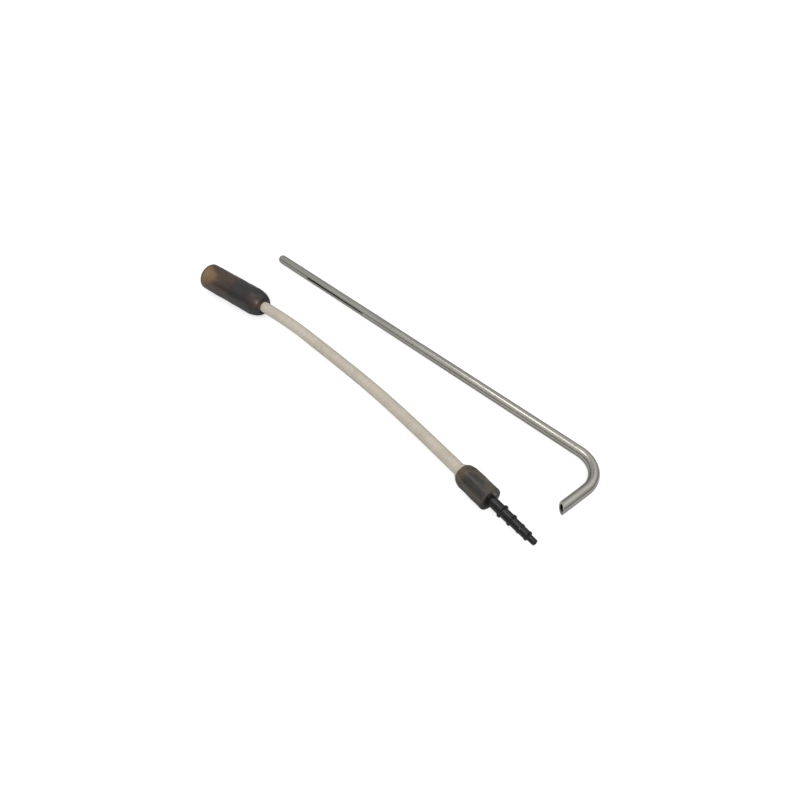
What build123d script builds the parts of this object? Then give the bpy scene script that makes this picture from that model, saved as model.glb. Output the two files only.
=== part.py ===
from build123d import *
import math
import os

# Sampling line set: a flexible hose with a soft socket boot at one end and a stepped
# push-in adapter at the other, and a loose bent steel probe tube.
# Millimetres. +Z up, the floor is Z = 0, and the origin is under the middle of the set.

# ---------------------------------------------------------------- driving dimensions
# probe tube
tube_od = 6.35
tube_wall = 1.24
tube_reach = 296.4  # rounded tip to the corner where the two straight axes cross
tube_leg = 40.2  # that corner to the middle of the open end
tube_bend_angle = 95.0  # degrees, a little past square
tube_bend_radius = 19.05  # on the tube's axis
tube_tip_plug = 6.0  # solid metal behind the rounded tip
scarf_turn = 33.0  # degrees, open end cut back towards the inside of the bend
scarf_tilt = 9.0  # degrees, and leant up
slot_from_tip = 36.0
slot_length = 60.0
slot_width = 1.0  # at the tip end
slot_end_width = 0.7  # where it runs out
slot_lift = 18.0  # degrees, how far it faces above level
tube_corner_x = 151.4
tube_axis_y = 34.3

# hose
hose_od = 7.5
hose_bore = 4.8

# socket boot
boot_od = 19.0
boot_bore = 12.4
boot_length = 56.8
boot_bore_depth = 28.0
boot_pocket_depth = 12.4  # how far the hose sits in
boot_dome_run = 6.4  # domed hose end: run of its slope
boot_dome_drop = 3.4  # how far the slope comes in
boot_dome_blend = 4.2  # rounding setback from the slope to the side
boot_face_blend = 2.2  # rounding setback from the slope to the end face
boot_mouth_round = 0.9

# coupling sleeve
sleeve_od = 14.3
sleeve_bore = 9.0
sleeve_length = 23.3
sleeve_pocket_depth = 5.4
sleeve_dome_run = 3.4
sleeve_dome_drop = 1.7
sleeve_dome_blend = 2.0
sleeve_face_blend = 1.0
sleeve_mouth_round = 0.6
lip_height = 1.6  # raised rim round the hose
lip_wall = 0.8

# stepped adapter; places are measured from the sleeve's mouth towards the tip
adapter_bore = 2.0
collar_clearance = 0.05  # radial, collar in the sleeve's bore
barb_clearance = 0.08  # radial, inner barb in the hose
collar_gap = 0.3  # collar to the hose's end
collar_length = 8.8
inner_barb_length = 8.0
shank_ods = [6.1, 5.9, 5.35, 5.1, 3.6]  # between the rings, thickest first
ring_ods = [7.8, 6.9, 5.8, 5.6]
ring_places = [9.75, 16.8, 23.2, 28.8]  # middle of each ring
ring_width = 1.7
ring_crest = 0.8
ring_face = 0.15  # run of the steep face on the sleeve's side
adapter_reach = 33.9  # sleeve's mouth to the tip
tip_round = 0.4

# route of the hose's axis, from the end held in the boot to the end held in the sleeve;
# it sags between them and almost touches the floor
floor_gap = 0.2
boot_axis_z = boot_od / 2
sleeve_axis_z = sleeve_od / 2
sag_axis_z = hose_od / 2 + floor_gap
hose_route = [
    (-108.8, -17.4, boot_axis_z),
    (-76.9, -14.1, boot_axis_z),
    (-33.0, -12.3, sag_axis_z + 0.25),
    (15.0, -14.8, sag_axis_z),
    (62.4, -22.5, sleeve_axis_z),
    (102.2, -28.3, sleeve_axis_z),
]

os.makedirs("parts", exist_ok=True)


def rounding_radii(corners):
    """Fillet radii of (place, radius, setback) corners, each setback kept inside its runs."""
    radii = []
    for i, (place, radius, setback) in enumerate(corners):
        if not setback:
            radii.append(0)
            continue
        ways = []
        setbacks = [setback]
        for other_place, other_radius, other_setback in (corners[i - 1], corners[(i + 1) % len(corners)]):
            way = Vector(other_place - place, other_radius - radius)
            ways.append(way)
            setbacks.append(0.97 * way.length * setback / (setback + other_setback))
        turn = math.radians(180 - ways[0].get_angle(ways[1]))
        radii.append(min(setbacks) / math.tan(turn / 2))
    return radii


def real_corners(corners):
    """Corners without those that repeat the one before or lie on a straight run."""
    places = [Vector(place, radius) for place, radius, _ in corners]
    corners = [c for i, c in enumerate(corners) if (places[i - 1] - places[i]).length > 1e-6]
    places = [Vector(place, radius) for place, radius, _ in corners]
    ways = [places[i] - places[i - 1] for i in range(len(corners))]
    return [
        corner
        for i, corner in enumerate(corners)
        if ways[i].get_angle(ways[(i + 1) % len(corners)]) > 1e-3
    ]


def turned(start, way, corners):
    """Solid turned about an axis, from the (place, radius, setback) corners of half its section."""
    corners = real_corners(corners)
    side = Plane(origin=start, x_dir=way, z_dir=way.cross(Vector(0, 0, 1)))
    with BuildPart() as solid:
        with BuildSketch(side):
            with BuildLine():
                FilletPolyline(
                    *[(place, radius) for place, radius, _ in corners],
                    radius=rounding_radii(corners),
                    close=True,
                )
            make_face()
        revolve(axis=Axis(start, way))
    return solid


def soft_socket(
    neck, way, od, length, dome_run, dome_drop, dome_blend, face_blend, lip_height,
    bore, bore_start, pocket_depth, mouth_round,
):
    """Soft sleeve with a domed hose end, a hose pocket there and a bore open at its other end."""
    mouth_blend = min(mouth_round, 0.45 * (od - bore) / 2)
    corners = [
        (bore_start, bore / 2, 0),
        (length, bore / 2, mouth_blend),
        (length, od / 2, mouth_blend),
        (dome_run, od / 2, dome_blend),
        (0, od / 2 - dome_drop, face_blend),
    ]
    if lip_height:
        lip_radius = hose_od / 2 + lip_wall
        corners += [(0, lip_radius, 0), (-lip_height, lip_radius, lip_wall / 2)]
    corners += [(-lip_height, hose_od / 2, 0), (pocket_depth, hose_od / 2, 0)]
    if pocket_depth < bore_start:
        corners += [(pocket_depth, hose_bore / 2, 0), (bore_start, hose_bore / 2, 0)]
    return turned(neck, way, corners)


def finish(builder, name):
    builder.part.label = name
    export_step(builder.part, f"parts/{name}.step")
    print(f"{name}: {builder.part.volume:.1f} mm3")


# ---------------------------------------------------------------- hose
points = [Vector(*point) for point in hose_route]
runs = [after - before for before, after in zip(points, points[1:])]
hose_radii = []
for before, after in zip(runs, runs[1:]):
    half_turn = math.radians(before.get_angle(after) / 2)
    hose_radii.append(0.45 * min(before.length, after.length) / math.tan(half_turn))
print("hose bend radii:", [round(radius) for radius in hose_radii])

with BuildPart() as hose:
    with BuildLine() as hose_line:
        FilletPolyline(*hose_route, radius=hose_radii)
    with BuildSketch(Plane(origin=points[0], z_dir=runs[0])):
        Circle(hose_od / 2)
        Circle(hose_bore / 2, mode=Mode.SUBTRACT)
    sweep(path=hose_line.line)
hose_section = math.pi / 4 * (hose_od**2 - hose_bore**2)
hose_length = hose_line.wires()[0].length
print(f"hose length {hose_length:.1f}, by volume {hose.part.volume / hose_section:.1f}")
finish(hose, "hose")

# ---------------------------------------------------------------- socket boot
boot_out = -runs[0].normalized()
boot_neck = points[0] - boot_out * boot_pocket_depth
socket_boot = soft_socket(
    neck=boot_neck,
    way=boot_out,
    od=boot_od,
    length=boot_length,
    dome_run=boot_dome_run,
    dome_drop=boot_dome_drop,
    dome_blend=boot_dome_blend,
    face_blend=boot_face_blend,
    lip_height=0,
    bore=boot_bore,
    bore_start=boot_length - boot_bore_depth,
    pocket_depth=boot_pocket_depth,
    mouth_round=boot_mouth_round,
)
finish(socket_boot, "socket_boot")

# ---------------------------------------------------------------- coupling sleeve
sleeve_out = runs[-1].normalized()
sleeve_neck = points[-1] - sleeve_out * sleeve_pocket_depth
coupling_sleeve = soft_socket(
    neck=sleeve_neck,
    way=sleeve_out,
    od=sleeve_od,
    length=sleeve_length,
    dome_run=sleeve_dome_run,
    dome_drop=sleeve_dome_drop,
    dome_blend=sleeve_dome_blend,
    face_blend=sleeve_face_blend,
    lip_height=lip_height,
    bore=sleeve_bore,
    bore_start=sleeve_pocket_depth,
    pocket_depth=sleeve_pocket_depth,
    mouth_round=sleeve_mouth_round,
)
finish(coupling_sleeve, "coupling_sleeve")

# ---------------------------------------------------------------- stepped adapter
hose_end = sleeve_pocket_depth - sleeve_length
collar_start = hose_end + collar_gap
collar_end = collar_start + collar_length
barb_start = collar_start - inner_barb_length
collar_radius = sleeve_bore / 2 - collar_clearance
inner_barb_radius = hose_bore / 2 - barb_clearance

# corners of half its section: place along the axis, radius, rounding setback
adapter_outline = [
    (barb_start, adapter_bore / 2, 0),
    (barb_start, inner_barb_radius, tip_round),
    (collar_start, inner_barb_radius, 0),
    (collar_start, collar_radius, tip_round),
    (collar_end, collar_radius, tip_round),
    (collar_end, shank_ods[0] / 2, 0),
]
for place, ring_od, before_od, after_od in zip(ring_places, ring_ods, shank_ods, shank_ods[1:]):
    ring_start = place - ring_width / 2
    adapter_outline += [
        (ring_start, before_od / 2, 0),
        (ring_start + ring_face, ring_od / 2, 0),
        (ring_start + ring_face + ring_crest, ring_od / 2, 0),
        (ring_start + ring_width, after_od / 2, 0),
    ]
adapter_outline += [
    (adapter_reach, shank_ods[-1] / 2, tip_round),
    (adapter_reach, adapter_bore / 2, 0),
]
stepped_adapter = turned(sleeve_neck + sleeve_out * sleeve_length, sleeve_out, adapter_outline)
finish(stepped_adapter, "stepped_adapter")

# ---------------------------------------------------------------- probe tube
tube_radius = tube_od / 2
tube_bore = tube_od - 2 * tube_wall
tube_tip_x = tube_corner_x - tube_reach
tip_centre = (tube_tip_x + tube_radius, tube_axis_y, tube_radius)
tube_corner = (tube_corner_x, tube_axis_y, tube_radius)
past_square = math.radians(tube_bend_angle - 90)
leg_way = Vector(-math.sin(past_square), -math.cos(past_square), 0)
leg_end = Vector(*tube_corner) + leg_way * tube_leg
leg_blank_end = leg_end + leg_way * tube_od
bore_start = (tube_tip_x + tube_tip_plug, tube_axis_y, tube_radius)
scarf_normal = (
    leg_way
    + leg_way.cross(Vector(0, 0, 1)) * math.tan(math.radians(scarf_turn))
    + Vector(0, 0, 1) * math.tan(math.radians(scarf_tilt))
)

with BuildPart() as probe_tube:
    with BuildLine() as tube_line:
        FilletPolyline(tip_centre, tube_corner, leg_blank_end, radius=[tube_bend_radius])
    with BuildSketch(Plane(origin=tip_centre, z_dir=(1, 0, 0))):
        Circle(tube_radius)
    sweep(path=tube_line.line)
    with Locations(tip_centre):
        Sphere(tube_radius)
    with BuildLine() as bore_line:
        FilletPolyline(bore_start, tube_corner, leg_blank_end, radius=[tube_bend_radius])
    with BuildSketch(Plane(origin=bore_start, z_dir=(1, 0, 0))):
        Circle(tube_bore / 2)
    sweep(path=bore_line.line, mode=Mode.SUBTRACT)
    with BuildSketch(Plane(origin=leg_end, z_dir=scarf_normal)):
        Rectangle(3 * tube_od, 3 * tube_od)
    extrude(amount=2 * tube_od, mode=Mode.SUBTRACT)
    # side slot, on the inside of the bend, wider near the tip
    lift = math.radians(slot_lift)
    slot_way = (0, -math.cos(lift), math.sin(lift))
    with BuildSketch(Plane(origin=tip_centre, x_dir=(1, 0, 0), z_dir=slot_way)):
        slot_first = slot_from_tip - tube_radius + slot_width / 2
        slot_last = slot_from_tip - tube_radius + slot_length - slot_end_width / 2
        with Locations((slot_first, 0)):
            Circle(slot_width / 2)
        with Locations((slot_last, 0)):
            Circle(slot_end_width / 2)
        make_hull()
    extrude(amount=tube_od, mode=Mode.SUBTRACT)
finish(probe_tube, "probe_tube")
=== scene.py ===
"""Looks for the sampling line set: socket boot, hose, coupling sleeve, adapter and probe tube."""

import bisect
import math

import bmesh
import bpy
from mathutils import Matrix, Vector, noise


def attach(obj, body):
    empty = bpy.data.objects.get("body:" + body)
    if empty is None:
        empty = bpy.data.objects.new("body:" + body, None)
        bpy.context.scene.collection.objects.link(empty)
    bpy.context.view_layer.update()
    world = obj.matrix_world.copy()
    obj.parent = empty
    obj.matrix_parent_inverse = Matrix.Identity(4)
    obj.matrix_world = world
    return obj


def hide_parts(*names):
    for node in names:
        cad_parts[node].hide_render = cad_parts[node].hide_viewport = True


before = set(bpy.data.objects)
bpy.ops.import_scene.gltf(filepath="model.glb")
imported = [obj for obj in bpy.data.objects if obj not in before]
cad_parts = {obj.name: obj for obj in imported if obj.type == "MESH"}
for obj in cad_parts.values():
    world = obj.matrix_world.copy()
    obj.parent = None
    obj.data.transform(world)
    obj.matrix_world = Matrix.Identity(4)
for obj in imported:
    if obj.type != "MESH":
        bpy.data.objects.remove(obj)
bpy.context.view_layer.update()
MM = 0.001

# ---------------------------------------------------------------- camera
CAMERA_SPOT = Vector((0.26104, -0.23521, 0.31554))
LOOK_AT = Vector((0.02717, -0.00702, 0.0))
CAMERA_LENS = 33.28
CAMERA_SENSOR = 36.0


def add_camera():
    data = bpy.data.cameras.new("camera")
    data.lens = CAMERA_LENS
    data.sensor_width = CAMERA_SENSOR
    data.clip_start = 0.01
    camera = bpy.data.objects.new("camera", data)
    camera.location = CAMERA_SPOT
    camera.rotation_euler = (LOOK_AT - CAMERA_SPOT).to_track_quat("-Z", "Y").to_euler()
    bpy.context.scene.collection.objects.link(camera)
    bpy.context.scene.camera = camera


add_camera()

# ---------------------------------------------------------------- sizes, in millimetres
HOSE_OD = 7.5
HOSE_BORE = 4.8
HOSE_BITE = 0.05  # how far the soft walls press into the hose's skin
HOSE_END_ROUND = 0.3
HOSE_BORE_ROUND = 0.15

BOOT_OD = 19.0
BOOT_BORE = 12.4
BOOT_LENGTH = 56.8
BOOT_BORE_DEPTH = 28.0
BOOT_POCKET = 12.4
BOOT_DOME = ((6.4, 0.0, 4.2), (0.0, 3.4, 2.2))  # run, drop and rounding of its two corners
BOOT_MOUTH_ROUND = 0.9
BORE_FLOOR_ROUND = 0.5  # at the bottom of the boot's and the sleeve's bores
NECK_ROUND = 0.3  # where the hose goes into them

SLEEVE_OD = 14.3
SLEEVE_BORE = 9.0
SLEEVE_LENGTH = 23.3
SLEEVE_POCKET = 5.4
SLEEVE_DOME = ((3.4, 0.0, 2.0), (0.0, 1.7, 1.0))
SLEEVE_MOUTH_ROUND = 0.6
LIP_HEIGHT = 1.6
LIP_WALL = 0.8
LIP_ROOT = 0.4  # how far the rim runs into the sleeve
LIP_BORE_ROUND = 0.2

ADAPTER_BORE = 2.0
ADAPTER_BORE_ROUND = 0.1
COLLAR_RADIUS = 4.45
COLLAR_FOOT_ROUND = 0.3
COLLAR_GAP = 0.3
COLLAR_LENGTH = 8.8
INNER_BARB_RADIUS = 2.32
INNER_BARB_LENGTH = 8.0
SHANK_ODS = (6.1, 5.9, 5.35, 5.1, 3.6)
RING_ODS = (7.8, 6.9, 5.8, 5.6)
RING_PLACES = (9.75, 16.8, 23.2, 28.8)  # from the sleeve's mouth towards the tip
RING_WIDTH = 1.7
RING_CREST = 0.8
RING_FACE = 0.15
RING_SOFTENING = 0.06
ADAPTER_REACH = 33.9
TIP_ROUND = 0.4
PARTING_HEIGHT = 0.07
PARTING_HALF_WIDTH = 0.02

TUBE_OD = 6.35
TUBE_WALL = 1.24
TUBE_REACH = 296.4
TUBE_LEG = 40.2
TUBE_BEND_ANGLE = math.radians(95.0)
TUBE_BEND_RADIUS = 19.05
TUBE_PLUG = 6.0
TUBE_PLUG_ROUND = 0.3
TUBE_TIP_FLAT = 0.01
TUBE_BEND_STEPS = 36
TUBE_CORNER = Vector((151.4, 34.3, TUBE_OD / 2))
SCARF_TURN = math.radians(33.0)
SCARF_TILT = math.radians(9.0)
SCARF_DEBURR = 0.12
SLOT_FROM_TIP = 36.0
SLOT_LENGTH = 60.0
SLOT_WIDTH = 1.0
SLOT_END_WIDTH = 0.7
SLOT_LIFT = math.radians(18.0)

ROUND_STEPS = 96  # faces round a turned piece
HOSE_STEPS = 64
TUBE_STEPS = 80
SWELL_TOP = 0.6  # unevenness of a soft skin is cut off here, so nothing stands proud
FINE_SWELL_SHARE = 0.5
FINE_SWELL_STEP = 2.7

# route of the hose's axis, in metres, from the end held in the boot to the end in the sleeve
HOSE_ROUTE = (
    (-0.1088, -0.0174, 0.0095),
    (-0.0769, -0.0141, 0.0095),
    (-0.0330, -0.0123, 0.0042),
    (0.0150, -0.0148, 0.00395),
    (0.0624, -0.0225, 0.00715),
    (0.1022, -0.0283, 0.00715),
)
route = [Vector(point) / MM for point in HOSE_ROUTE]
boot_out = (route[0] - route[1]).normalized()
boot_neck = route[0] - boot_out * BOOT_POCKET
sleeve_out = (route[-1] - route[-2]).normalized()
sleeve_neck = route[-1] - sleeve_out * SLEEVE_POCKET
sleeve_mouth = sleeve_neck + sleeve_out * SLEEVE_LENGTH


# ---------------------------------------------------------------- mesh helpers
def piece_from(bm, name, sharp_angle=40):
    """Makes a bmesh in millimetres a smooth-shaded object in metres at the origin."""
    bmesh.ops.scale(bm, vec=(MM, MM, MM), verts=bm.verts)
    mesh = bpy.data.meshes.new(name)
    bm.to_mesh(mesh)
    bm.free()
    mesh.shade_smooth()
    mesh.set_sharp_from_angle(angle=math.radians(sharp_angle))
    piece = bpy.data.objects.new(name, mesh)
    bpy.context.scene.collection.objects.link(piece)
    return piece


def stand_along(start, direction):
    """Matrix that puts local Z on a direction from start."""
    turn = direction.to_track_quat("Z", "Y").to_matrix().to_4x4()
    return Matrix.Translation(start) @ turn


def turned(outline, steps=ROUND_STEPS, longest=None, closed=True):
    """Turned solid about local Z from (height, radius, setback) corners, the setbacks rounded."""
    bm = bmesh.new()
    corners = [bm.verts.new((radius, 0, height)) for height, radius, _ in outline]
    pairs = list(zip(corners, corners[1:]))
    if closed:
        pairs.append((corners[-1], corners[0]))
    for pair in pairs:
        bm.edges.new(pair)
    for corner, (_, _, setback) in zip(corners, outline):
        if setback:
            bmesh.ops.bevel(
                bm, geom=[corner], offset=setback, offset_type="OFFSET",
                segments=4 + int(3 * setback), profile=0.5, affect="VERTICES", material=-1,
            )
    if longest:
        for edge in list(bm.edges):
            cuts = int(edge.calc_length() / longest)
            if cuts:
                bmesh.ops.subdivide_edges(bm, edges=[edge], cuts=cuts)
    bmesh.ops.spin(
        bm, geom=bm.verts[:] + bm.edges[:], cent=(0, 0, 0), axis=(0, 0, 1),
        angle=math.tau, steps=steps, use_merge=True,
    )
    bmesh.ops.remove_doubles(bm, verts=bm.verts, dist=1e-4)
    bmesh.ops.recalc_face_normals(bm, faces=bm.faces)
    return bm


def unwrap_round(bm):
    """UV map of a straight turned piece: U once round it, V its height in millimetres."""
    uv = bm.loops.layers.uv.new("UVMap")
    for face in bm.faces:
        turns = [math.atan2(loop.vert.co.y, loop.vert.co.x) / math.tau for loop in face.loops]
        seam = max(turns) - min(turns) > 0.5
        for loop, turn in zip(face.loops, turns):
            loop[uv].uv = (turn + 1 if seam and turn < 0 else turn, loop.vert.co.z)


def lay_along(bm, line):
    """Bends a straight piece so that its local Z runs along a line of points."""
    runs = [0.0]
    for before, after in zip(line, line[1:]):
        runs.append(runs[-1] + (after - before).length)
    ahead = [
        (line[min(i + 1, len(line) - 1)] - line[max(i - 1, 0)]).normalized()
        for i in range(len(line))
    ]
    ahead[0] = (line[1] - line[0]).normalized()
    ahead[-1] = (line[-1] - line[-2]).normalized()
    up = Vector((0, 0, 1))
    for vert in bm.verts:
        x, y, run = vert.co
        i = min(max(bisect.bisect_right(runs, run) - 1, 0), len(runs) - 2)
        share = (run - runs[i]) / (runs[i + 1] - runs[i])
        centre = line[i].lerp(line[i + 1], share)
        way = ahead[i].lerp(ahead[i + 1], min(max(share, 0), 1)).normalized()
        side = up.cross(way).normalized()
        vert.co = centre + side * x + way.cross(side) * y


def hand_formed(bm, amount, size, inside):
    """Draws the outer skin of a soft straight piece in a little, unevenly."""
    for vert in bm.verts:
        around = Vector((vert.co.x, vert.co.y, 0))
        if around.length > inside:
            fine = noise.noise(vert.co * FINE_SWELL_STEP / size)
            swell = noise.noise(vert.co / size) + FINE_SWELL_SHARE * fine
            vert.co += around.normalized() * amount * (min(swell, SWELL_TOP) - SWELL_TOP)


# ---------------------------------------------------------------- hose
def hose_line_points():
    """Points read from the NURBS line of the hose's route, in metres."""
    data = bpy.data.curves.new("hose_route", "CURVE")
    data.dimensions = "3D"
    data.resolution_u = 24
    spline = data.splines.new("NURBS")
    spline.points.add(len(HOSE_ROUTE) - 1)
    for point, place in zip(spline.points, HOSE_ROUTE):
        point.co = (*place, 1)
    spline.order_u = 3
    spline.use_endpoint_u = True
    curve = bpy.data.objects.new("hose_route", data)
    bpy.context.scene.collection.objects.link(curve)
    bpy.context.view_layer.update()
    line = bpy.data.meshes.new_from_object(curve)
    points = [vert.co.copy() for vert in line.vertices]
    bpy.data.meshes.remove(line)
    bpy.data.objects.remove(curve)
    return points


def make_hose():
    points = hose_line_points()
    length = sum((after - before).length for before, after in zip(points, points[1:]))
    end = length / MM
    outline = [
        (0, HOSE_BORE / 2, HOSE_BORE_ROUND),
        (0, HOSE_OD / 2, HOSE_END_ROUND),
        (end, HOSE_OD / 2, HOSE_END_ROUND),
        (end, HOSE_BORE / 2, HOSE_BORE_ROUND),
    ]
    bm = turned(outline, steps=HOSE_STEPS, longest=1.3)
    unwrap_round(bm)
    lay_along(bm, [point / MM for point in points])
    hose = piece_from(bm, "hose_tube")
    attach(hose, "hose_line")
    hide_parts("hose")
    return hose


# ---------------------------------------------------------------- soft boot and sleeve
def soft_socket(name, start, direction, length, od, dome, pocket, bore, bore_from,
                mouth_round):
    """Hollow soft piece: hose pocket at height 0, open bore at its other end."""
    grip = HOSE_OD / 2 - HOSE_BITE
    outline = [
        (bore_from, HOSE_BORE / 2 if pocket < bore_from else grip, 0),
        (bore_from, bore / 2, BORE_FLOOR_ROUND),
        (length, bore / 2, mouth_round),
        (length, od / 2, mouth_round),
    ]
    outline += [(run, od / 2 - drop, blend) for run, drop, blend in dome]
    outline += [(0, grip, NECK_ROUND)]
    if pocket < bore_from:
        outline += [(pocket, grip, 0), (pocket, HOSE_BORE / 2, 0)]
    bm = turned(outline, longest=1.0)
    hand_formed(bm, amount=0.16, size=6.0, inside=od / 2 - 0.6)
    bmesh.ops.transform(bm, matrix=stand_along(start, direction), verts=bm.verts)
    socket = piece_from(bm, name)
    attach(socket, "hose_line")
    return socket


def make_boot():
    boot = soft_socket(
        "boot_moulding", boot_neck, boot_out, length=BOOT_LENGTH, od=BOOT_OD,
        dome=BOOT_DOME, pocket=BOOT_POCKET, bore=BOOT_BORE,
        bore_from=BOOT_LENGTH - BOOT_BORE_DEPTH, mouth_round=BOOT_MOUTH_ROUND,
    )
    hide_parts("socket_boot")
    return boot


def make_sleeve():
    sleeve = soft_socket(
        "sleeve_moulding", sleeve_neck, sleeve_out, length=SLEEVE_LENGTH,
        od=SLEEVE_OD, dome=SLEEVE_DOME, pocket=SLEEVE_POCKET, bore=SLEEVE_BORE,
        bore_from=SLEEVE_POCKET, mouth_round=SLEEVE_MOUTH_ROUND,
    )
    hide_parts("coupling_sleeve")
    return sleeve


def make_sleeve_rim():
    """Pale rim that stands out of the sleeve's neck round the hose."""
    grip, rim = HOSE_OD / 2 - HOSE_BITE, HOSE_OD / 2 + LIP_WALL
    outline = [
        (LIP_ROOT, grip, 0),
        (LIP_ROOT, rim, 0),
        (-LIP_HEIGHT, rim, LIP_WALL / 2),
        (-LIP_HEIGHT, grip, LIP_BORE_ROUND),
    ]
    bm = turned(outline, longest=0.5)
    bmesh.ops.transform(bm, matrix=stand_along(sleeve_neck, sleeve_out), verts=bm.verts)
    ring = piece_from(bm, "sleeve_rim")
    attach(ring, "hose_line")
    return ring


# ---------------------------------------------------------------- stepped adapter
def adapter_outline():
    hose_end = SLEEVE_POCKET - SLEEVE_LENGTH
    collar_start = hose_end + COLLAR_GAP
    collar_end = collar_start + COLLAR_LENGTH
    barb_start = collar_start - INNER_BARB_LENGTH
    outline = [
        (barb_start, ADAPTER_BORE / 2, ADAPTER_BORE_ROUND),
        (barb_start, INNER_BARB_RADIUS, TIP_ROUND),
        (collar_start, INNER_BARB_RADIUS, 0),
        (collar_start, COLLAR_RADIUS, TIP_ROUND),
        (collar_end, COLLAR_RADIUS, TIP_ROUND),
        (collar_end, SHANK_ODS[0] / 2, COLLAR_FOOT_ROUND),
    ]
    rings = zip(RING_PLACES, RING_ODS, SHANK_ODS, SHANK_ODS[1:])
    for place, ring_od, before_od, after_od in rings:
        start = place - RING_WIDTH / 2
        outline += [
            (start, before_od / 2, 0),
            (start + RING_FACE, ring_od / 2, RING_SOFTENING),
            (start + RING_FACE + RING_CREST, ring_od / 2, RING_SOFTENING),
            (start + RING_WIDTH, after_od / 2, RING_SOFTENING),
        ]
    outline += [
        (ADAPTER_REACH, SHANK_ODS[-1] / 2, TIP_ROUND),
        (ADAPTER_REACH, ADAPTER_BORE / 2, ADAPTER_BORE_ROUND),
    ]
    return outline


def raise_parting_lines(bm, height, inside):
    """Lifts one line of the skin on each side, where the two mould halves met."""
    for vert in bm.verts:
        around = Vector((vert.co.x, vert.co.y, 0))
        on_line = abs(vert.co.x) < PARTING_HALF_WIDTH
        if around.length > inside and on_line and vert.co.z > 0:
            vert.co += around.normalized() * height


def make_adapter():
    bm = turned(adapter_outline(), longest=0.8)
    raise_parting_lines(bm, height=PARTING_HEIGHT, inside=1.3)
    bmesh.ops.transform(bm, matrix=stand_along(sleeve_mouth, sleeve_out), verts=bm.verts)
    adapter = piece_from(bm, "adapter_moulding", sharp_angle=32)
    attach(adapter, "adapter")
    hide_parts("stepped_adapter")
    return adapter


# ---------------------------------------------------------------- probe tube
past_square = TUBE_BEND_ANGLE - math.pi / 2
leg_way = Vector((-math.sin(past_square), -math.cos(past_square), 0))


def tube_axis_points():
    """Axis of the bent tube from its tip: straight run, bend and leg."""
    start = TUBE_CORNER.x - TUBE_BEND_RADIUS * math.tan(TUBE_BEND_ANGLE / 2)
    bend_centre = Vector((start, TUBE_CORNER.y - TUBE_BEND_RADIUS, TUBE_CORNER.z))
    points = [TUBE_CORNER - Vector((TUBE_REACH, 0, 0))]
    for i in range(TUBE_BEND_STEPS + 1):
        turn = math.pi / 2 - TUBE_BEND_ANGLE * i / TUBE_BEND_STEPS
        outward = Vector((math.cos(turn), math.sin(turn), 0))
        points.append(bend_centre + TUBE_BEND_RADIUS * outward)
    points.append(TUBE_CORNER + leg_way * (TUBE_LEG + TUBE_OD))
    return points


def cut_scarf(bm):
    """Cuts the open end on the slant, closes the wall there and takes the burr off."""
    middle = TUBE_CORNER + leg_way * TUBE_LEG
    inward = leg_way.cross(Vector((0, 0, 1)))
    off = leg_way + inward * math.tan(SCARF_TURN) + Vector((0, 0, math.tan(SCARF_TILT)))
    off.normalize()
    near = [f for f in bm.faces if (f.calc_center_median() - middle).length < 3 * TUBE_OD]
    parts = {v for f in near for v in f.verts} | {e for f in near for e in f.edges} | set(near)
    bmesh.ops.bisect_plane(
        bm, geom=list(parts), plane_co=middle, plane_no=off, clear_outer=True, dist=1e-5,
    )
    rim = [e for e in bm.edges if e.is_boundary]
    wall = bmesh.ops.bridge_loops(bm, edges=rim)["faces"]
    corners = list({e for f in wall for e in f.edges if e in set(rim)})
    bmesh.ops.bevel(
        bm, geom=corners, offset=SCARF_DEBURR, offset_type="OFFSET", segments=3,
        profile=0.5, affect="EDGES", material=-1,
    )
    bmesh.ops.recalc_face_normals(bm, faces=bm.faces)


def slot_cutter():
    """Tapered block that cuts the side slot, on the inside of the bend."""
    bm = bmesh.new()
    first = SLOT_FROM_TIP + SLOT_WIDTH / 2
    last = SLOT_FROM_TIP + SLOT_LENGTH - SLOT_END_WIDTH / 2
    tip = TUBE_CORNER - Vector((TUBE_REACH, 0, 0))
    facing = Matrix.Translation(tip) @ Matrix.Rotation(math.radians(90) - SLOT_LIFT, 4, "X")
    for run, width in ((first, SLOT_WIDTH), (last, SLOT_END_WIDTH)):
        for depth in (0.0, TUBE_OD):
            spot = facing @ Matrix.Translation((run, 0, depth))
            bmesh.ops.create_circle(bm, segments=32, radius=width / 2, matrix=spot)
    bmesh.ops.convex_hull(bm, input=bm.verts)
    bmesh.ops.recalc_face_normals(bm, faces=bm.faces)
    return piece_from(bm, "slot_cutter")


def make_probe():
    line = tube_axis_points()
    length = sum((after - before).length for before, after in zip(line, line[1:]))
    radius, bore = TUBE_OD / 2, TUBE_OD / 2 - TUBE_WALL
    outline = [
        (0, 0, 0),
        (0, radius, radius - TUBE_TIP_FLAT),
        (length, radius, 0),
        (length, bore, 0),
        (TUBE_PLUG, bore, TUBE_PLUG_ROUND),
        (TUBE_PLUG, 0, 0),
    ]
    bm = turned(outline, steps=TUBE_STEPS, longest=1.6, closed=False)
    unwrap_round(bm)
    lay_along(bm, line)
    cut_scarf(bm)
    tube = piece_from(bm, "probe_pipe")
    cutter = slot_cutter()
    cut = tube.modifiers.new("side_slot", "BOOLEAN")
    cut.object = cutter
    cut.solver = "EXACT"
    bpy.context.view_layer.update()
    slotted = bpy.data.meshes.new_from_object(
        tube.evaluated_get(bpy.context.evaluated_depsgraph_get())
    )
    tube.modifiers.clear()
    tube.data = slotted
    slotted.shade_smooth()
    slotted.set_sharp_from_angle(angle=math.radians(30))
    bpy.data.objects.remove(cutter)
    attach(tube, "probe")
    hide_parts("probe_tube")
    return tube


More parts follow.
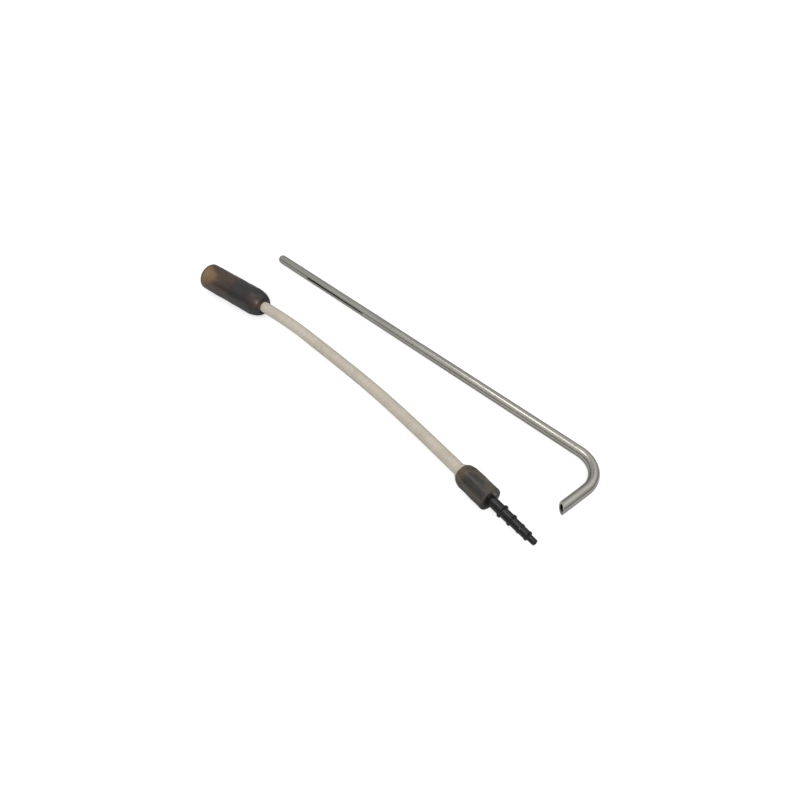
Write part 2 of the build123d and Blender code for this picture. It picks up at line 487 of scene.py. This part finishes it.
# ---------------------------------------------------------------- finishes
def feed(node, values):
    """Sets a node's inputs to numbers, or joins them to other nodes' outputs."""
    for key, value in values.items():
        if isinstance(value, bpy.types.NodeSocket):
            node.id_data.links.new(value, node.inputs[key])
        else:
            node.inputs[key].default_value = value


def add(tree, kind, values=None, **settings):
    """New node with its settings and its inputs, which are numbers or other nodes' outputs."""
    made = tree.nodes.new(kind)
    for key, value in settings.items():
        setattr(made, key, value)
    feed(made, values or {})
    return made


def maths(tree, operation, first, second):
    return add(tree, "ShaderNodeMath", {0: first, 1: second}, operation=operation).outputs[0]


def ranged(tree, value, low, high, to_low, to_high, smooth=False):
    """A value spread from one range onto another, held at its ends."""
    made = add(
        tree, "ShaderNodeMapRange",
        {"Value": value, "From Min": low, "From Max": high, "To Min": to_low, "To Max": to_high},
        interpolation_type="SMOOTHSTEP" if smooth else "LINEAR",
    )
    return made.outputs["Result"]


def blend(tree, share, first, second, mode="MIX"):
    made = add(tree, "ShaderNodeMix", {0: share, 6: first, 7: second},
               data_type="RGBA", blend_type=mode)
    return made.outputs[2]


def new_group(name, inputs, outputs):
    """Node group with float or vector inputs and outputs, and its two end nodes."""
    tree = bpy.data.node_groups.new(name, "ShaderNodeTree")
    for label, kind, value in inputs:
        socket = tree.interface.new_socket(label, in_out="INPUT", socket_type=kind)
        if value is not None:
            socket.default_value = value
    for label, kind in outputs:
        tree.interface.new_socket(label, in_out="OUTPUT", socket_type=kind)
    return tree, tree.nodes.new("NodeGroupInput"), tree.nodes.new("NodeGroupOutput")


def cloudiness_group():
    """Soft patches of lighter and darker tone, broad and fine ones together."""
    tree, start, end = new_group(
        "cloudiness",
        [("Vector", "NodeSocketVector", None), ("Broad Size", "NodeSocketFloat", 90.0),
         ("Fine Size", "NodeSocketFloat", 600.0), ("Fine Share", "NodeSocketFloat", 0.4)],
        [("Tone", "NodeSocketFloat")],
    )
    broad = add(tree, "ShaderNodeTexNoise",
                {"Vector": start.outputs["Vector"], "Scale": start.outputs["Broad Size"],
                 "Detail": 2.0, "Roughness": 0.5})
    fine = add(tree, "ShaderNodeTexNoise",
               {"Vector": start.outputs["Vector"], "Scale": start.outputs["Fine Size"],
                "Detail": 3.0, "Roughness": 0.6})
    mixed = add(tree, "ShaderNodeMix",
                {0: start.outputs["Fine Share"], 2: broad.outputs[0], 3: fine.outputs[0]})
    tree.links.new(mixed.outputs[0], end.inputs["Tone"])
    return tree


def handling_group():
    """Faint smears and dust left by hands: a mask that is mostly empty."""
    tree, start, end = new_group(
        "handling",
        [("Vector", "NodeSocketVector", None), ("Size", "NodeSocketFloat", 120.0),
         ("Cover", "NodeSocketFloat", 0.45)],
        [("Smear", "NodeSocketFloat"), ("Dust", "NodeSocketFloat")],
    )
    smear = add(tree, "ShaderNodeTexNoise",
                {"Vector": start.outputs["Vector"], "Scale": start.outputs["Size"],
                 "Detail": 4.0, "Roughness": 0.7, "Distortion": 1.2})
    empty = maths(tree, "SUBTRACT", 1.0, start.outputs["Cover"])
    full = maths(tree, "ADD", empty, 0.25)
    smear_mask = ranged(tree, smear.outputs[0], empty, full, 0.0, 1.0, smooth=True)
    specks = add(tree, "ShaderNodeTexVoronoi",
                 {"Vector": start.outputs["Vector"],
                  "Scale": maths(tree, "MULTIPLY", start.outputs["Size"], 9.0)})
    dust_mask = ranged(tree, specks.outputs["Distance"], 0.05, 0.14, 1.0, 0.0)
    dust_here = maths(tree, "MULTIPLY", dust_mask, smear_mask)
    tree.links.new(smear_mask, end.inputs["Smear"])
    tree.links.new(dust_here, end.inputs["Dust"])
    return tree


def skin_group():
    """Height of a moulded or drawn skin: low swells under a fine grain."""
    tree, start, end = new_group(
        "skin",
        [("Vector", "NodeSocketVector", None), ("Swell Size", "NodeSocketFloat", 250.0),
         ("Grain Size", "NodeSocketFloat", 2500.0), ("Grain Share", "NodeSocketFloat", 0.3)],
        [("Height", "NodeSocketFloat")],
    )
    swell = add(tree, "ShaderNodeTexNoise",
                {"Vector": start.outputs["Vector"], "Scale": start.outputs["Swell Size"],
                 "Detail": 1.0})
    grain = add(tree, "ShaderNodeTexNoise",
                {"Vector": start.outputs["Vector"], "Scale": start.outputs["Grain Size"],
                 "Detail": 2.0})
    mixed = add(tree, "ShaderNodeMix",
                {0: start.outputs["Grain Share"], 2: swell.outputs[0], 3: grain.outputs[0]})
    tree.links.new(mixed.outputs[0], end.inputs["Height"])
    return tree


SMOKE_WARM = (0.82, 0.74, 0.62, 1)
SMOKE_COOL = (0.70, 0.74, 0.80, 1)
BOOT_PASSED = (0.745, 0.585, 0.245, 1)  # colour of the light that the boot's wall lets through
BOOT_SMOKE = 780.0  # per metre
SLEEVE_PASSED = (0.60, 0.55, 0.42, 1)
SLEEVE_SMOKE = 480.0
DUST_GREY = (0.80, 0.78, 0.74, 1)
HOSE_SHADE = (0.41, 0.365, 0.30, 1)
HOSE_MILK = (0.52, 0.47, 0.395, 1)
PLASTIC_DARK = (0.004, 0.004, 0.005, 1)
PLASTIC_LIGHT = (0.010, 0.010, 0.011, 1)
STEEL_DULL = (0.42, 0.405, 0.365, 1)
STEEL_BRIGHT = (0.53, 0.515, 0.47, 1)

CLOUDINESS = cloudiness_group()
HANDLING = handling_group()
SKIN = skin_group()


def new_finish(name):
    """Empty material with a Principled shader joined to its output."""
    material = bpy.data.materials.new(name)
    material.use_nodes = True
    tree = material.node_tree
    tree.nodes.clear()
    shader = add(tree, "ShaderNodeBsdfPrincipled")
    output = add(tree, "ShaderNodeOutputMaterial")
    tree.links.new(shader.outputs[0], output.inputs["Surface"])
    return material, tree, shader, output


def grouped(tree, group, values):
    return add(tree, "ShaderNodeGroup", values, node_tree=group).outputs


def smoked_elastomer(name, passed, smoke_density):
    """Soft smoke-grey plastic that lets a little warm light through its thin walls."""
    material, tree, shader, output = new_finish(name)
    place = add(tree, "ShaderNodeTexCoord").outputs["Object"]
    cloud = grouped(tree, CLOUDINESS, {"Vector": place, "Broad Size": 110.0, "Fine Size": 700.0})
    tint = grouped(tree, CLOUDINESS, {"Vector": place, "Broad Size": 75.0, "Fine Size": 260.0})
    hands = grouped(tree, HANDLING, {"Vector": place, "Size": 150.0, "Cover": 0.42})
    skin = grouped(tree, SKIN, {"Vector": place, "Swell Size": 320.0, "Grain Size": 3200.0})
    cool = ranged(tree, tint["Tone"], 0.38, 0.62, 0.0, 1.0)
    colour = blend(tree, cool, SMOKE_WARM, SMOKE_COOL)
    tone = ranged(tree, cloud["Tone"], 0.3, 0.7, 0.72, 1.0)
    colour = blend(tree, 1.0, colour, tone, mode="MULTIPLY")
    colour = blend(tree, maths(tree, "MULTIPLY", hands["Dust"], 0.3), colour, DUST_GREY)
    rough = ranged(tree, hands["Smear"], 0.0, 1.0, 0.30, 0.42)
    bump = add(tree, "ShaderNodeBump",
               {"Height": skin["Height"], "Strength": 0.35, "Distance": 0.0002})
    feed(shader, {
        "Base Color": colour, "Roughness": rough, "Normal": bump.outputs[0],
        "IOR": 1.40, "Transmission Weight": 0.97,
    })
    smoke = add(tree, "ShaderNodeVolumeAbsorption",
                {"Color": passed, "Density": smoke_density})
    tree.links.new(smoke.outputs[0], output.inputs["Volume"])
    return material


def milky_hose():
    """Milky beige hose, faintly ribbed round itself by the die it came through."""
    material, tree, shader, _ = new_finish("milky_hose")
    coords = add(tree, "ShaderNodeTexCoord").outputs
    place = coords["Object"]
    cloud = grouped(tree, CLOUDINESS, {"Vector": place, "Broad Size": 70.0, "Fine Size": 900.0,
                                       "Fine Share": 0.5})
    hands = grouped(tree, HANDLING, {"Vector": place, "Size": 90.0, "Cover": 0.40})
    skin = grouped(tree, SKIN, {"Vector": place, "Swell Size": 260.0, "Grain Size": 2600.0})
    wound = add(tree, "ShaderNodeMapping", {"Vector": coords["UV"], "Scale": (3.0, 0.9, 1.0),
                                            "Rotation": (0.0, 0.0, 0.2)})
    ribs = add(tree, "ShaderNodeTexNoise",
               {"Vector": wound.outputs[0], "Scale": 1.0, "Detail": 2.0})
    tone = ranged(tree, cloud["Tone"], 0.35, 0.65, 0.0, 1.0)
    colour = blend(tree, tone, HOSE_SHADE, HOSE_MILK)
    rib_tone = ranged(tree, ribs.outputs[0], 0.35, 0.65, 0.92, 1.0)
    colour = blend(tree, 1.0, colour, rib_tone, mode="MULTIPLY")
    height = maths(tree, "ADD", skin["Height"], maths(tree, "MULTIPLY", ribs.outputs[0], 0.45))
    bump = add(tree, "ShaderNodeBump", {"Height": height, "Strength": 0.3, "Distance": 0.0001})
    feed(shader, {
        "Base Color": colour, "Roughness": ranged(tree, hands["Smear"], 0.0, 1.0, 0.26, 0.40),
        "Normal": bump.outputs[0], "IOR": 1.5,
        "Subsurface Weight": 0.35, "Subsurface Radius": (1.0, 0.8, 0.6),
        "Subsurface Scale": 0.0012,
    })
    return material


def black_plastic():
    """Black moulded nylon, half gloss."""
    material, tree, shader, _ = new_finish("black_plastic")
    place = add(tree, "ShaderNodeTexCoord").outputs["Object"]
    cloud = grouped(tree, CLOUDINESS, {"Vector": place, "Broad Size": 160.0, "Fine Size": 900.0})
    hands = grouped(tree, HANDLING, {"Vector": place, "Size": 260.0, "Cover": 0.40})
    skin = grouped(tree, SKIN, {"Vector": place, "Swell Size": 500.0, "Grain Size": 3600.0})
    tone = ranged(tree, cloud["Tone"], 0.3, 0.7, 0.0, 1.0)
    colour = blend(tree, tone, PLASTIC_DARK, PLASTIC_LIGHT)
    bump = add(tree, "ShaderNodeBump",
               {"Height": skin["Height"], "Strength": 0.4, "Distance": 0.0001})
    feed(shader, {
        "Base Color": colour, "Roughness": ranged(tree, hands["Smear"], 0.0, 1.0, 0.15, 0.30),
        "Normal": bump.outputs[0], "IOR": 1.5, "Specular IOR Level": 0.30,
    })
    return material


def stainless():
    """Warm grey stainless tube with the fine long lines of its drawing."""
    material, tree, shader, _ = new_finish("stainless")
    coords = add(tree, "ShaderNodeTexCoord").outputs
    place = coords["Object"]
    cloud = grouped(tree, CLOUDINESS, {"Vector": place, "Broad Size": 40.0, "Fine Size": 500.0})
    hands = grouped(tree, HANDLING, {"Vector": place, "Size": 80.0, "Cover": 0.42})
    along = add(tree, "ShaderNodeMapping", {"Vector": coords["UV"], "Scale": (60.0, 0.05, 1.0)})
    lines = add(tree, "ShaderNodeTexNoise",
                {"Vector": along.outputs[0], "Scale": 1.0, "Detail": 3.0})
    across = add(tree, "ShaderNodeMapping", {"Vector": coords["UV"], "Scale": (0.6, 1.1, 1.0)})
    chatter = add(tree, "ShaderNodeTexNoise",
                  {"Vector": across.outputs[0], "Scale": 1.0, "Detail": 1.0})
    tone = ranged(tree, cloud["Tone"], 0.3, 0.7, 0.0, 1.0)
    colour = blend(tree, tone, STEEL_DULL, STEEL_BRIGHT)
    drawn = ranged(tree, lines.outputs[0], 0.3, 0.7, 0.86, 1.0)
    rings = ranged(tree, chatter.outputs[0], 0.35, 0.65, 0.93, 1.0)
    colour = blend(tree, 1.0, colour, maths(tree, "MULTIPLY", drawn, rings), mode="MULTIPLY")
    rough = maths(tree, "ADD", ranged(tree, hands["Smear"], 0.0, 1.0, 0.24, 0.34),
                  ranged(tree, lines.outputs[0], 0.3, 0.7, -0.04, 0.05))
    bump = add(tree, "ShaderNodeBump",
               {"Height": lines.outputs[0], "Strength": 0.12, "Distance": 0.00005})
    feed(shader, {
        "Base Color": colour, "Metallic": 1.0, "Roughness": rough, "Normal": bump.outputs[0],
    })
    return material


# ---------------------------------------------------------------- the set
hose = make_hose()
boot = make_boot()
sleeve = make_sleeve()
sleeve_rim = make_sleeve_rim()
adapter = make_adapter()
probe = make_probe()

milky = milky_hose()
boot_smoke = smoked_elastomer("smoked_boot", BOOT_PASSED, BOOT_SMOKE)
sleeve_smoke = smoked_elastomer("smoked_sleeve", SLEEVE_PASSED, SLEEVE_SMOKE)
for piece, finish in (
    (hose, milky), (sleeve_rim, milky), (boot, boot_smoke), (sleeve, sleeve_smoke),
    (adapter, black_plastic()), (probe, stainless()),
):
    piece.data.materials.clear()
    piece.data.materials.append(finish)

# ---------------------------------------------------------------- floor and light
FLOOR_SIZE = 6.0
FLOOR_WHITE = 0.52
FLOOR_GLOW = 0.60  # lifts the shadows that the camera sees
FLOOR_BOUNCE = 0.62
FLOOR_MIRRORED = 0.66
# grey of the painted contact shade that shiny pieces see in the floor right next to them
FLOOR_PAINTED_SHADE = 0.35
PAINTED_SHADE_REACH = 0.008
OVERHEAD_SPOT = (-0.33, -0.10, 1.0)
OVERHEAD_SIZE = (0.45, 0.20)
OVERHEAD_WATTS = 1.0
FRONT_SPOT = (1.17, -1.14, 1.58)
FRONT_SIZE = (1.2, 1.2)
FRONT_WATTS = 28.0
ROOM_LIGHT = 0.75
BACKDROP = 1.0
SKY_SOFTBOX = (0.10, -0.55, 0.83)
BACK_SOFTBOX = (0.10, 0.62, 0.78)


def add_floor():
    """White paper; what shines sees it greyer, with painted contact shade darkest close round the
    pieces.
    """
    bm = bmesh.new()
    bmesh.ops.create_grid(bm, x_segments=1, y_segments=1, size=FLOOR_SIZE)
    mesh = bpy.data.meshes.new("floor")
    bm.to_mesh(mesh)
    bm.free()
    floor = bpy.data.objects.new("floor", mesh)
    bpy.context.scene.collection.objects.link(floor)
    material, tree, shader, _ = new_finish("floor_paper")
    rays = add(tree, "ShaderNodeLightPath").outputs
    # painted contact shade: an ambient-occlusion mask darkens the floor's colour near the pieces,
    # for glossy rays only
    open_share = add(tree, "ShaderNodeAmbientOcclusion", {"Distance": PAINTED_SHADE_REACH},
                     samples=6).outputs["AO"]
    mirrored_painted_shade = ranged(tree, open_share, 0.70, 0.98, FLOOR_PAINTED_SHADE, FLOOR_MIRRORED)
    unseen = add(tree, "ShaderNodeMix", {0: rays["Is Glossy Ray"], 2: FLOOR_BOUNCE, 3: mirrored_painted_shade})
    white = add(tree, "ShaderNodeMix", {0: rays["Is Camera Ray"], 2: unseen.outputs[0],
                                        3: FLOOR_WHITE})
    grey = add(tree, "ShaderNodeCombineColor", {key: white.outputs[0] for key in range(3)})
    glow = maths(tree, "MULTIPLY", rays["Is Camera Ray"], FLOOR_GLOW)
    feed(shader, {"Base Color": grey.outputs[0], "Roughness": 0.9,
                        "Specular IOR Level": 0.0, "Emission Color": (1, 1, 1, 1),
                        "Emission Strength": glow})
    mesh.materials.append(material)


def add_soft_light(name, spot, size, watts):
    data = bpy.data.lights.new(name, "AREA")
    data.shape = "RECTANGLE"
    data.size, data.size_y = size
    data.energy = watts
    light = bpy.data.objects.new(name, data)
    light.location = spot
    light.rotation_euler = (-Vector(spot)).to_track_quat("-Z", "Y").to_euler()
    bpy.context.scene.collection.objects.link(light)


def add_room():
    """White backdrop for the camera; a soft sky with a dim horizon for what shines."""
    world = bpy.data.worlds.new("room")
    bpy.context.scene.world = world
    world.use_nodes = True
    tree = world.node_tree
    tree.nodes.clear()
    way = add(tree, "ShaderNodeTexCoord").outputs["Generated"]
    height = add(tree, "ShaderNodeSeparateXYZ", {0: way}).outputs[2]
    horizon = ranged(tree, height, 0.02, 0.45, 0.12, 1.0, smooth=True)
    facing = add(tree, "ShaderNodeVectorMath", {0: way, 1: SKY_SOFTBOX}, operation="DOT_PRODUCT")
    softbox = ranged(tree, facing.outputs["Value"], 0.5, 1.0, 0.80, 1.25, smooth=True)
    behind = add(tree, "ShaderNodeVectorMath", {0: way, 1: BACK_SOFTBOX}, operation="DOT_PRODUCT")
    back_box = ranged(tree, behind.outputs["Value"], 0.80, 1.0, 1.0, 1.8, smooth=True)
    level = maths(tree, "MULTIPLY", maths(tree, "MULTIPLY", horizon, softbox), ROOM_LIGHT)
    level = maths(tree, "MULTIPLY", level, back_box)
    seen = add(tree, "ShaderNodeLightPath").outputs["Is Camera Ray"]
    strength = add(tree, "ShaderNodeMix", {0: seen, 2: level, 3: BACKDROP}).outputs[0]
    light = add(tree, "ShaderNodeBackground", {"Color": (1, 1, 1, 1), "Strength": strength})
    output = add(tree, "ShaderNodeOutputWorld")
    tree.links.new(light.outputs[0], output.inputs["Surface"])


add_floor()
add_soft_light("overhead_box", OVERHEAD_SPOT, OVERHEAD_SIZE, OVERHEAD_WATTS)
add_soft_light("front_box", FRONT_SPOT, FRONT_SIZE, FRONT_WATTS)
add_room()
bpy.context.scene.view_settings.view_transform = "Standard"
